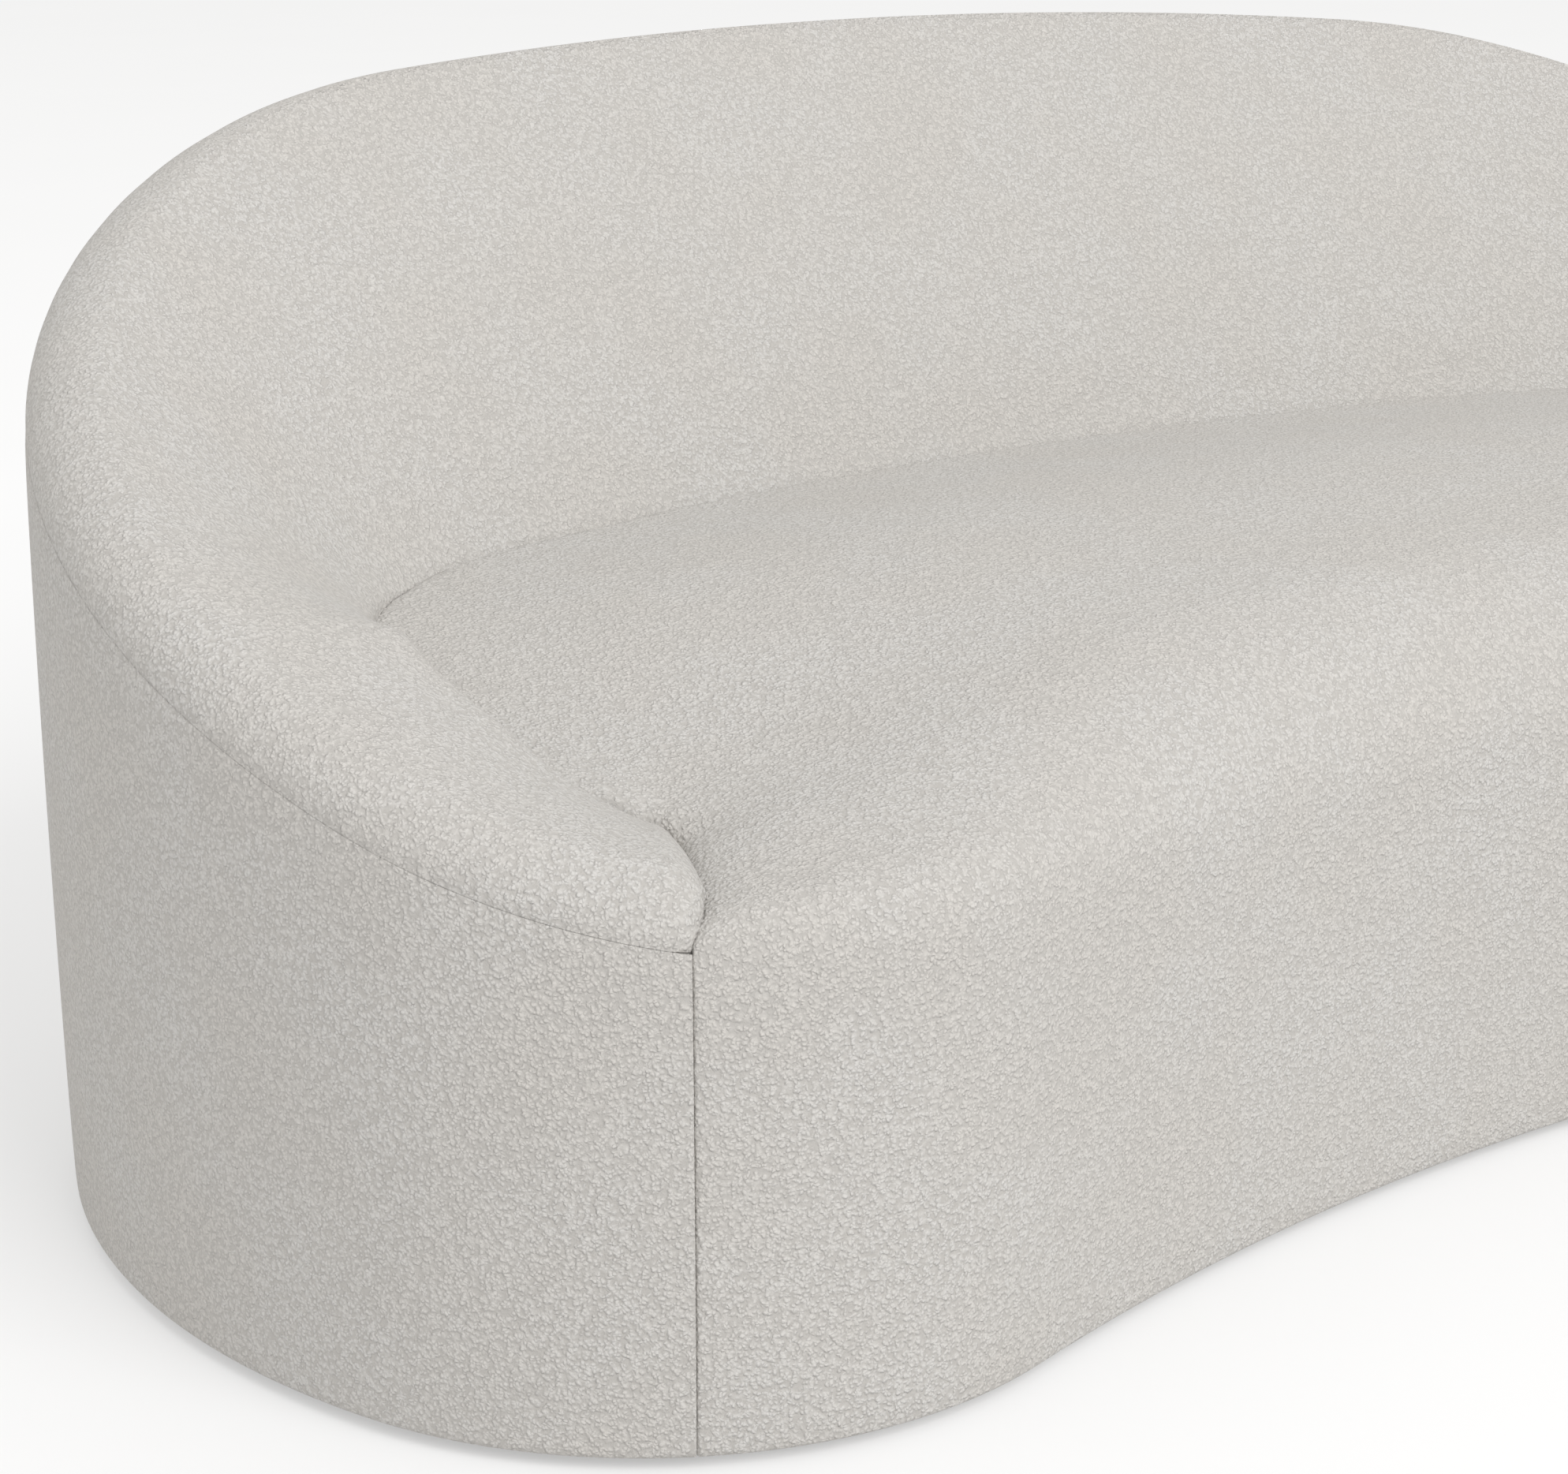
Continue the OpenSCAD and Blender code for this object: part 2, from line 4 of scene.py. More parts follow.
import bpy
import numpy as np
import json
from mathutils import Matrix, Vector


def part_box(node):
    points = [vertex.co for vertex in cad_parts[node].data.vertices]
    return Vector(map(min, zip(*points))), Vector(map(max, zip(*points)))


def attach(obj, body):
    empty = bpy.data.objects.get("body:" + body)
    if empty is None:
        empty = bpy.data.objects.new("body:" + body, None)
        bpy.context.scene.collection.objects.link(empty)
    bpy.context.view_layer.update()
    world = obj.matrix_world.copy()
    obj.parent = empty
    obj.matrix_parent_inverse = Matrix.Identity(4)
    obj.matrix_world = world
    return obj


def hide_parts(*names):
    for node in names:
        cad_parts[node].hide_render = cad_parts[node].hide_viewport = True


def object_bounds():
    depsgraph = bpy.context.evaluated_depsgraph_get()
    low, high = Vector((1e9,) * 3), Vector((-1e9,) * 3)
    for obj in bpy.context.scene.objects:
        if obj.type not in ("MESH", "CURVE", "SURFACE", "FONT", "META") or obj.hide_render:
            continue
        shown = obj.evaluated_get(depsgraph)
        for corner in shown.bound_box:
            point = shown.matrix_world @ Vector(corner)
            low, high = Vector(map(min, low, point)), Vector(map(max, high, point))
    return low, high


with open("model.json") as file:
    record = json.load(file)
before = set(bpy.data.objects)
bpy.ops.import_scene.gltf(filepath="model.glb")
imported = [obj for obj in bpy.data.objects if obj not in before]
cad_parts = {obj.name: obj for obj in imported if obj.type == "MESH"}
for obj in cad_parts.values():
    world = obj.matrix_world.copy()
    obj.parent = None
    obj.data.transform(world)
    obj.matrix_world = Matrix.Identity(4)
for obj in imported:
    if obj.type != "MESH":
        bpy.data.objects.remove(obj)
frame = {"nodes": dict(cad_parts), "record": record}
cad_low, cad_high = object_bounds()

# ---------------------------------------------------------------- sizes
mm = 0.001
sofa_w = 2 * cad_high.x
sofa_d = 2 * cad_high.y
sofa_h = cad_high.z
hem_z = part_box("outer_cover")[0].z
seat_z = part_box("seat_cover")[1].z
deck_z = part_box("seat_deck")[1].z
pad_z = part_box("seat_foam_core")[0].z

corner_r = 580 * mm
corner_turn = math.radians(24)
lobe_r = 325 * mm
front_r = 1950 * mm
seam_angle = math.radians(28)
seam_front_z = 320 * mm
back_rise = 76 * mm
arm_rise = 42 * mm
back_w = 360 * mm
arm_w = 180 * mm
narrow_start = 600 * mm
narrow_end = 1500 * mm
roll_drop = 130 * mm
roll_run = 150 * mm

ridge_r = 30 * mm
ridge_over_seam = 26 * mm
back_over_seat = 10 * mm
arm_over_seat = 27 * mm

cover_edge = 3.5 * mm
frame_in = 18 * mm
rail_out = frame_in + 28.5 * mm
layer_drop = 8 * mm
card_t = 2 * mm
rib_clear = 6 * mm
rib_foot_h = 60 * mm
rib_foot_in = 70 * mm
rib_top_w = 70 * mm

cloth_t = 1.5 * mm
pad_lift = 1 * mm
seam_pinch = 0.7 * mm
seam_pinch_run = 5 * mm
seam_edge_r = 1.2 * mm
seam_gap = 0.2 * mm
seam_lip = 3 * mm
seam_lip_drop = 0.5 * mm
tongue_out = 15 * mm
tongue_back = 18 * mm
tongue_round = 27 * mm
nose_h = 55 * mm

# ---------------------------------------------------------------- plan
lobe_y = -sofa_d / 2 + lobe_r
corner_x = -(sofa_w / 2 - corner_r)
corner_y = lobe_y + (corner_r - lobe_r) * math.sin(corner_turn)
back_gap = sofa_d / 2 - corner_y
back_r = (corner_x**2 + back_gap**2 - corner_r**2) / (2 * (back_gap - corner_r))
back_y = sofa_d / 2 - back_r
lobe_x = corner_x - (corner_r - lobe_r) * math.cos(corner_turn)
front_y = lobe_y - math.sqrt((front_r + lobe_r) ** 2 - lobe_x**2)

back_turn = math.atan2(corner_y - back_y, corner_x)
corner_end = math.pi + corner_turn
seam_at = 1.5 * math.pi - seam_angle
lobe_end = 2 * math.pi + math.atan2(front_y - lobe_y, -lobe_x)
front_start = math.atan2(lobe_y - front_y, lobe_x)

corner_from = back_r * (back_turn - math.pi / 2)
lobe_from = corner_from + corner_r * (corner_end - back_turn)
wall_half = lobe_from + lobe_r * (seam_at - corner_end)
front_from = lobe_from + lobe_r * (lobe_end - corner_end)
front_half = front_from - wall_half + front_r * (front_start - math.pi / 2)
rake = (sofa_h - back_rise - seam_front_z) / sofa_d


def outline(s):
    """Points on the outline, s metres round from the middle of the back, and their inward directions."""
    d = np.abs(s)
    zones = [d <= corner_from, d <= lobe_from, d <= front_from]
    angle = np.select(
        zones,
        [math.pi / 2 + d / back_r, back_turn + (d - corner_from) / corner_r,
         corner_end + (d - lobe_from) / lobe_r],
        front_start - (d - front_from) / front_r)
    cx = np.select(zones, [0.0, corner_x, lobe_x], 0.0)
    cy = np.select(zones, [back_y, corner_y, lobe_y], front_y)
    r = np.select(zones, [back_r, corner_r, lobe_r], front_r)
    out = np.stack([np.cos(angle), np.sin(angle)], -1)
    point = np.stack([cx, cy], -1) + r[..., None] * out
    inward = np.where(d <= front_from, -1, 1)[..., None] * out
    mirror = np.where(s > 0, -1, 1)[..., None] * np.array([1, 0]) + np.array([0, 1])
    return point * mirror, inward * mirror


def seam_z(y):
    """Height of the raked outer seam."""
    return seam_front_z + rake * (y + sofa_d / 2)


def ease(x):
    """A soft step from 0 to 1."""
    t = np.clip(x, 0, 1)
    return t * t * (3 - 2 * t)


def arm_share(s):
    """How far the section has changed from that of the back to that of an arm."""
    return ease((np.abs(s) - narrow_start) / (narrow_end - narrow_start))


def band_w(s):
    return back_w + (arm_w - back_w) * arm_share(s)


def edge_rise(s):
    return back_rise + (arm_rise - back_rise) * arm_share(s)


def ridge_height(s):
    """Height of the soft ridge where the back and arms meet the seat."""
    point, _ = outline(s)
    over_seat = back_over_seat + (arm_over_seat - back_over_seat) * arm_share(s)
    return np.minimum(seam_z(point[:, 1]) + ridge_over_seam, seat_z + over_seat)


def round_in(distance, radius):
    """How far a rounded edge falls away at a distance from its border."""
    near = np.clip(1 - distance / radius, 0, 1)
    return radius * (1 - np.sqrt(np.maximum(0, 1 - near * near)))


def nose(height):
    """Share of an arm's rounded end that stands out, at a height above the raked seam."""
    return np.sqrt(1 - (1 - np.clip(height / nose_h, 0, 1)) ** 2)


def clustered(length, pitch, edge):
    """Distances from 0 to length, closer together near both ends."""
    edge = np.array(edge)
    steps = max(2, int(round((length - 2 * edge[-1]) / pitch)))
    middle = np.linspace(edge[-1], length - edge[-1], steps + 1)
    return np.concatenate([edge[:-1], middle, (length - edge[:-1])[::-1]])


# ---------------------------------------------------------------- mesh helpers
def only(piece):
    bpy.ops.object.select_all(action="DESELECT")
    piece.select_set(True)
    bpy.context.view_layer.objects.active = piece


def set_points(piece, points):
    piece.data.vertices.foreach_set("co", np.ascontiguousarray(points, np.float32).ravel())
    piece.data.update()


def get_points(mesh):
    points = np.zeros(len(mesh.vertices) * 3, np.float32)
    mesh.vertices.foreach_get("co", points)
    return points.reshape(-1, 3)


def cloth_grid(name, points, uv):
    """A sheet from a grid, moved to points[column, row], with its cloth lengths in metres as UV."""
    columns, rows = points.shape[:2]
    bpy.ops.object.select_all(action="DESELECT")
    bpy.ops.mesh.primitive_grid_add(x_subdivisions=columns - 1, y_subdivisions=rows - 1, size=1)
    piece = bpy.context.object
    piece.name = name
    flat = get_points(piece.data)
    i = np.rint((flat[:, 0] + 0.5) * (columns - 1)).astype(int)
    j = np.rint((flat[:, 1] + 0.5) * (rows - 1)).astype(int)
    layer = piece.data.uv_layers.active or piece.data.uv_layers.new()
    layer.name = "cloth"
    loops = np.zeros(len(piece.data.loops), np.int32)
    piece.data.loops.foreach_get("vertex_index", loops)
    layer.data.foreach_set("uv", np.ascontiguousarray(uv[i, j][loops], np.float32).ravel())
    set_points(piece, points[i, j])
    return piece, i, j


def apply_modifier(piece, kind, **settings):
    only(piece)
    modifier = piece.modifiers.new(kind.lower(), kind)
    for key, value in settings.items():
        setattr(modifier, key, value)
    bpy.ops.object.modifier_apply(modifier=modifier.name)


def face_outwards(piece):
    only(piece)
    bpy.ops.object.mode_set(mode="EDIT")
    bpy.ops.mesh.select_all(action="SELECT")
    bpy.ops.mesh.normals_make_consistent(inside=False)
    bpy.ops.object.mode_set(mode="OBJECT")


def smooth(piece):
    only(piece)
    bpy.ops.object.shade_smooth()


def closed_pad(name, face, under, uv):
    """A closed pad: its face and its underside are two layers of one grid, joined round their borders.

    Also given back: the number of points on the face, and the column and the row of each.
    """
    piece, i, j = cloth_grid(name, face, uv)
    count = len(i)
    apply_modifier(piece, "SOLIDIFY", thickness=mm, offset=-1)
    both = np.concatenate([face[i, j], under[i, j]])
    set_points(piece, both)
    face_outwards(piece)
    return piece, count, i, j


puff_frames = 20
puff_pressure = 4.0
puff_stiffness = 25
hold_steps = 10


def puff(piece, held, cap):
    """Lets a pad swell by less than cap, and keeps the result; held is 1 where it is fixed."""
    rest = get_points(piece.data)
    group = piece.vertex_groups.new(name="held")
    steps = np.rint(held * hold_steps).astype(int)
    for step in range(1, hold_steps + 1):
        group.add([int(v) for v in np.nonzero(steps == step)[0]], step / hold_steps, "REPLACE")
    cloth = piece.modifiers.new("puff", "CLOTH")
    cloth.settings.quality = 4
    cloth.settings.mass = 0.3
    cloth.settings.vertex_group_mass = "held"
    cloth.settings.pin_stiffness = 1
    cloth.settings.tension_stiffness = puff_stiffness
    cloth.settings.compression_stiffness = puff_stiffness
    cloth.settings.bending_stiffness = 2
    cloth.settings.use_pressure = True
    cloth.settings.uniform_pressure_force = puff_pressure
    cloth.settings.effector_weights.gravity = 0
    cloth.collision_settings.use_collision = False
    cloth.point_cache.frame_start = 1
    cloth.point_cache.frame_end = puff_frames
    for step in range(1, puff_frames + 1):
        bpy.context.scene.frame_set(step)
    swollen = get_points(piece.evaluated_get(bpy.context.evaluated_depsgraph_get()).data)
    piece.modifiers.remove(cloth)
    piece.vertex_groups.remove(group)
    bpy.context.scene.frame_set(1)
    move = swollen - rest
    size = np.linalg.norm(move, axis=1, keepdims=True)
    keep = cap * np.tanh(size / cap) / np.maximum(size, 1e-9)
    set_points(piece, rest + move * keep * (1 - held[:, None]))
    print(piece.name, "swelled by up to", round(float((size * keep).max()), 4))


# ---------------------------------------------------------------- back and arms
tongue_steps = np.radians([8, 16, 25, 34, 43, 52, 62, 72, 81, 90])
crown_steps = np.array([0, 0.01, 0.025, 0.05, 0.09, 0.15, 0.23, 0.32, 0.42, 0.53, 0.64, 0.76, 0.88, 1])
slope_rows = 30
ridge_rows = 7
drop_rows = 5
back_pitch = 15 * mm
back_crown = 8 * mm
back_puff = 9 * mm
arm_end_hold = 40 * mm
arm_end_ease = 160 * mm
under_gap = 2 * mm
under_clear = 4 * mm


def band_stations():
    """Distances round from the middle of the back, with how far each lies in the rounded end of an arm."""
    reach = wall_half - tongue_back
    main = clustered(2 * reach, back_pitch, [0, 4 * mm, 10 * mm]) - reach
    out = reach + (tongue_out + tongue_back) * np.sin(tongue_steps)
    s = np.concatenate([-out[::-1], main, out])
    turn = np.concatenate([tongue_steps[::-1], 0 * main, tongue_steps])
    return s, turn


def band_face(s, turn):
    """Section of the back and arms from the seam to the seat, as [station, row, (distance in, height)]."""
    own = np.clip(s, -wall_half, wall_half)
    point, _ = outline(own)
    z0 = seam_z(point[:, 1])[:, None]
    rise = edge_rise(own)[:, None]
    w = band_w(own)[:, None]
    zr = ridge_height(own)[:, None]
    d = (tongue_round * (1 - np.cos(turn)))[:, None]
    angle = math.pi * (1 - crown_steps / 2)
    crown_t = d + (rise - d) * (1 + np.cos(angle))
    crown_z = z0 + (rise - d) * np.sin(angle)
    from_seam = crown_steps * rise * math.pi / 2
    crown_t = crown_t + seam_pinch * np.exp(-((from_seam / seam_pinch_run) ** 2))
    k = np.arange(1, slope_rows + 1) / slope_rows
    end_t = w - ridge_r - d / 2
    end_z = zr - d
    across = end_t - rise
    climb = end_z - z0 - rise + d
    run = np.hypot(across, climb)
    swell = back_crown * (w / back_w) * np.sin(math.pi * k) * (1 - d / rise)
    slope_t = rise + across * k - swell * climb / run
    slope_z = z0 + rise - d + climb * k + swell * across / run
    pull = np.clip(-climb / across, 0, 1) * ridge_r
    k = np.arange(1, ridge_rows + 1) / ridge_rows
    ridge_t = (1 - k) ** 2 * end_t + 2 * k * (1 - k) * (w - d) + k * k * (w - d)
    ridge_z = (1 - k) ** 2 * end_z + 2 * k * (1 - k) * (end_z - pull) + k * k * (zr - ridge_r)
    k = np.arange(1, drop_rows + 1) / drop_rows
    drop_t = w - d + 0 * k
    drop_z = zr - ridge_r + (deck_z + pad_lift - zr + ridge_r) * k
    t = np.concatenate([crown_t[:, :1] + seam_lip, crown_t, slope_t, ridge_t, drop_t], 1)
    z = np.concatenate([crown_z[:, :1] - seam_lip_drop, crown_z + seam_gap, slope_z, ridge_z, drop_z], 1)
    return np.stack([t, z], -1)


def band_under(s, rows):
    """Underside of the pads, over the top rail and the ribs, in the same form as band_face."""
    own = np.clip(s, -wall_half, wall_half)
    point, inward = outline(own)

    def raked(t):
        return seam_z(point[:, 1] + t * inward[:, 1])

    def over_deck(z):
        return np.maximum(z, deck_z + under_clear)

    w = band_w(own)
    foot = w - rib_foot_in + rib_clear
    edge = rib_top_w + 2 * rib_clear
    crest = np.minimum(raked(0), raked(edge)) - layer_drop - card_t
    top = over_deck(crest + rib_clear)
    knots = np.stack([
        np.stack([cover_edge + 0 * w, over_deck(raked(cover_edge) - layer_drop + pad_lift)], -1),
        np.stack([rail_out + 0 * w, over_deck(raked(rail_out) - layer_drop + pad_lift)], -1),
        np.stack([edge + 0 * w, top], -1),
        np.stack([foot, np.minimum(deck_z + rib_foot_h + rib_clear, top)], -1),
        np.stack([foot, deck_z + pad_lift + 0 * w], -1)], 1)
    path = np.zeros((len(s), rows, 2))
    for n, knot in enumerate(knots):
        along = np.concatenate([[0], np.cumsum(np.linalg.norm(np.diff(knot, axis=0), axis=1))])
        for axis in (0, 1):
            path[n, :, axis] = np.interp(np.linspace(0, along[-1], rows), along, knot[:, axis])
    return path


def placed(s, section):
    """Points of a section at each station; s may differ from row to row."""
    point, inward = outline(s if np.ndim(s) == 2 else np.broadcast_to(s[:, None], section.shape[:2]))
    return np.concatenate([point + section[..., :1] * inward, section[..., 1:]], -1)


def section_lengths(s, section):
    """Cloth lengths: round the sofa, and along the section from its first row."""
    step = np.linalg.norm(np.diff(section, axis=1), axis=2)
    along = np.concatenate([np.zeros((len(s), 1)), np.cumsum(step, 1)], 1)
    return np.stack([np.broadcast_to(np.asarray(s)[:, None], along.shape), along], -1)


def back_and_arms():
    """The pad of the back and both arms, one cover over its foam."""
    s, turn = band_stations()
    face = band_face(s, turn)
    rows = face.shape[1]
    under = band_under(s, rows)
    tip = turn > 0
    over_wall = (seam_front_z + cloth_t) * tip[:, None]
    face[..., 1] = np.maximum(face[..., 1], over_wall)
    under[tip, :, 0] = face[tip, :, 0]
    below = np.minimum(under[tip, :, 1], face[tip, :, 1] - under_gap)
    under[tip, :, 1] = np.maximum(below, over_wall[tip] - pad_lift)
    own = np.clip(s, -wall_half, wall_half)[:, None]
    out = nose(face[..., 1] - seam_z(outline(own[:, 0])[0][:, 1])[:, None])
    out[:, 1 + len(crown_steps):] = 1
    nosed = own + (s[:, None] - own) * out
    piece, count, i, j = closed_pad(
        "back_and_arms_cover", placed(nosed, face), placed(nosed, under), section_lengths(s, face))
    last_free = 1 + len(crown_steps) + slope_rows
    row_hold = 1 - ease((np.arange(rows) - 4) / 5) * ease((last_free + 3 - np.arange(rows)) / 6)
    column_hold = 1 - ease((wall_half - arm_end_hold - np.abs(s)) / arm_end_ease)
    held = np.maximum(row_hold[j], column_hold[i])
    puff(piece, np.concatenate([held, np.ones(count)]), back_puff)
    smooth(piece)
    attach(piece, "root")
    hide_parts("back_cover", "back_foam", "left_arm_foam", "right_arm_foam")
    return piece


# ---------------------------------------------------------------- outer wall
wall_pitch = 15 * mm
wall_rows = 38
wall_swell = 3 * mm
wall_end_turn = 13 * mm
hem_turn = 16 * mm
hem_r = 5 * mm


def outer_wall():
    """The fabric round the outside, from the turned lower edge up to the raked seam."""
    s = clustered(2 * wall_half, wall_pitch, [0, 1 * mm, 2.5 * mm, 5 * mm, 10 * mm]) - wall_half
    s = np.concatenate([[-wall_half], s, [wall_half]])
    point, _ = outline(s)
    top = seam_z(point[:, 1])
    up = clustered(1, 1 / wall_rows, [0, 0.003, 0.008, 0.016, 0.03])
    height = (top - hem_z)[:, None] * up
    below = (top - hem_z)[:, None] * (1 - up)
    z = hem_z + height
    t = round_in(height, hem_r) + seam_pinch * np.exp(-((below / seam_pinch_run) ** 2))
    t = t - wall_swell * np.sin(math.pi * up) ** 0.5
    t = t + round_in(wall_half - np.abs(s), seam_edge_r)[:, None]
    turned = np.full((len(s), 1), hem_turn)
    t = np.concatenate([turned, t, t[:, -1:] + seam_lip], 1)
    z = np.concatenate([z[:, :1] + seam_lip_drop, z, z[:, -1:] - seam_lip_drop], 1)
    t[0] = t[-1] = wall_end_turn
    t = np.maximum(t, -wall_swell)
    section = np.stack([t, z], -1)
    uv = section_lengths(s, section)
    uv[..., 1] = uv[:, -1:, 1] - uv[..., 1]
    piece, _, _ = cloth_grid("outer_wall_cover", placed(s, section), uv)
    face_outwards(piece)
    apply_modifier(piece, "SOLIDIFY", thickness=cloth_t, offset=-1)
    smooth(piece)
    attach(piece, "root")
    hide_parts("outer_cover")
    return piece


# ---------------------------------------------------------------- seat and front
crease_gap = -0.5 * mm
tuck_gap = -13 * mm
tuck_run = 150 * mm
crease_reach = wall_half - tongue_back - 5 * mm
crease_steps = np.array([0, 1.5, 4, 8, 14, 23]) * mm
crease_steps_room = 120 * mm
tongue_turn = math.radians(75)
tongue_reach = tuck_gap - tongue_back + (tongue_out + tongue_back) * math.sin(tongue_turn)
nose_lag = 14 * mm
arm_end_in = 145 * mm
end_over_seam = 11 * mm

seat_columns = 150
seat_rows = 30
roll_rows = 22
front_rows = 17
seat_edge_r = 9 * mm
seat_crown = 14 * mm
crown_run = 230 * mm
front_crown_from = -60 * mm
front_crown_run = 260 * mm
roll_swell = 3 * mm
bow_fade = 0.03
line_samples = 2000
border_samples = 400
tongue_samples = 60
turn_samples = 16
arm_end_samples = 24

dip = 68 * mm
dip_reach = 260 * mm
dip_from = 335 * mm
fall_run = 85 * mm
fall_slope = 2
fall_under = 7 * mm

flap_t = 18 * mm
flap_short = 3 * mm
side_depths = np.array([1, 0.3, 0.06])
side_deepest = 90 * mm
side_shallowest = 13 * mm
side_clear = 4 * mm
seat_side_share = 0.9
crease_side_share = 0.98
seat_puff = 8 * mm


def crease_line(count):
    """The line where the seat meets the back and arms, from the left arm's tip to the right one's."""
    s = np.linspace(-crease_reach, crease_reach, count)
    point, inward = outline(s)
    near_tip = ease((np.abs(s) - crease_reach + tuck_run) / tuck_run)
    tucked = crease_gap + (tuck_gap - crease_gap) * near_tip
    return point + (band_w(s) + tucked)[:, None] * inward


def at_shares(line, shares):
    """Points on a line at shares, from 0 to 1, of its plan length."""
    along = np.concatenate([[0], np.cumsum(np.linalg.norm(np.diff(line[:, :2], axis=0), axis=1))])
    return np.stack([np.interp(shares * along[-1], along, column) for column in line.T], -1)


def beyond_seam(e, t):
    """Points e metres past the left front seam and t metres in from the outline."""
    point, inward = outline(-(wall_half + np.asarray(e, float)))
    return point + np.asarray(t)[..., None] * inward


def round_tongue(rows):
    """Left border of the seat round the inner corner of the arm's end, with the arm's drop there."""
    turn = np.linspace(0, tongue_turn, turn_samples)
    reach = tuck_gap - tongue_back + (tongue_out + tongue_back) * np.sin(turn)
    drop = tongue_round * (1 - np.cos(turn))
    line = np.concatenate([crease_line(2)[:1], beyond_seam(reach, arm_w + tuck_gap - drop)])
    return at_shares(np.column_stack([line, np.append(0, drop)]), rows)


def seat_and_front():
    """The seat and the front, one cover over its padding, over the rolled edge and down to the hem."""
    shares = clustered(1, 1 / seat_columns, [0, 0.0008, 0.002, 0.004, 0.007, 0.011, 0.016])
    columns = len(shares)
    crease = at_shares(crease_line(line_samples), shares)
    left, end_drop = np.split(round_tongue(np.linspace(0, 1, tongue_samples)), [2], 1)

    def front_points(e, t):
        """Points along the front at inset t, starting e metres past each front seam."""
        s = -(wall_half + e) - (shares * 2) * (front_half - e)
        middle = wall_half + front_half
        s = np.where(-s > middle, 2 * middle + s, s)
        point, inward = outline(s)
        return point + t * inward, inward

    top_line, _ = front_points(tongue_reach, roll_run)
    top_line[0] = left[-1]
    top_line[-1] = left[-1] * [-1, 1]
    chord = np.linalg.norm(top_line - crease, axis=1)
    scale = np.minimum(1, chord / crease_steps_room)
    steps = crease_steps[None, :] * scale[:, None]
    rest = steps[:, -1:] + (chord[:, None] - steps[:, -1:]) * (np.arange(1, seat_rows + 1) / seat_rows)
    share = np.concatenate([steps, rest], 1) / chord[:, None]
    flat = crease[:, None, :] + share[..., None] * (top_line - crease)[:, None, :]
    ends = round_tongue(share[0])[:, :2]
    bow = ends - (left[0] + share[0][:, None] * (left[-1] - left[0]))
    fade = np.exp(-(shares / bow_fade) ** 2)[:, None, None]
    flat = flat + bow[None] * fade + (bow * [-1, 1])[None] * fade[::-1]

    round_the_back = np.linspace(-crease_reach, crease_reach, border_samples)
    arm_end = beyond_seam(tongue_reach, np.linspace(0, arm_end_in, arm_end_samples))
    tips = np.concatenate([left, arm_end])
    border = np.concatenate([crease_line(border_samples), tips, tips * [-1, 1]])
    drops = np.append(end_drop, np.full(len(arm_end), end_drop[-1]))
    tip_z = ridge_height(np.array([wall_half]))[0] - drops
    low_end = np.maximum(tip_z, seam_front_z + end_over_seam) + seat_edge_r
    border_z = np.concatenate([ridge_height(round_the_back), low_end, low_end]) - fall_under
    border_z = np.minimum(border_z, seat_z)

    def fallen(points, radius):
        """Heights of the points, brought down towards the arms' ends and the nearest part of the border."""
        for tip in (left[-1], left[-1] * [-1, 1]):
            near = np.exp(-((points[..., :2] - tip) ** 2).sum(-1) / dip_reach**2)
            points[..., 2] -= dip * near * ease((points[..., 2] - dip_from) / (seat_z - dip_from))
        apart = np.linalg.norm(points[..., None, :2] - border, axis=-1)
        distance = apart.min(-1)
        low = border_z[apart.argmin(-1)]
        run = np.minimum(fall_run, fall_slope * (seat_z - low) + radius)
        share = np.sqrt(1 - np.clip(1 - distance / run, 0, 1) ** 2)
        sunk = np.minimum(low, seat_z - radius / 2)
        z = points[..., 2]
        z = np.where(z > sunk, sunk + (z - sunk) * share, z)
        return z - round_in(distance, radius) * ease((z - sunk + radius) / radius), distance

    _, gap = fallen(np.concatenate([flat, 0 * flat[..., :1]], -1), seat_edge_r)
    front_gap = np.linalg.norm(flat - top_line[:, None, :], axis=-1)
    crown = seat_crown * ease(gap / crown_run) * ease((front_gap - front_crown_from) / front_crown_run)
    seat = np.concatenate([flat, (seat_z + crown)[..., None]], -1)
    seat[..., 2], _ = fallen(seat, seat_edge_r)

    grids = [seat]
    normals = [np.broadcast_to([0.0, 0.0, 1.0], seat.shape)]
    under = [np.concatenate([flat, np.full(flat.shape[:2] + (1,), pad_z + pad_lift)], -1)]
    edge = np.minimum(shares, 1 - shares) * 2 * front_half

    def front_row(t, z, out, up):
        """One row of the roll or of the front, with its outward direction out, up in the section."""
        at_edge = beyond_seam(np.array([tongue_reach]), np.array([t]))
        z_edge = float(fallen(np.append(at_edge, [[z]], 1), seat_edge_r)[0][0])
        stands_out = max(float(nose(z_edge - seam_front_z - nose_lag)), float(ease(t / (2 * arm_rise))))
        e = seam_gap + (tongue_reach - seam_gap) * stands_out
        point, inward = front_points(e, t)
        normal = np.concatenate([-out * inward, np.full((columns, 1), up)], 1)
        row = np.concatenate([point, np.full((columns, 1), z)], 1)
        row = row - normal * round_in(edge, seam_edge_r)[:, None]
        row[:, 2], _ = fallen(row, seat_edge_r)
        back, _ = front_points(e, max(t, flap_t))
        below = np.concatenate([back, np.full((columns, 1), min(z, pad_z + pad_lift))], 1)
        return row, normal, below

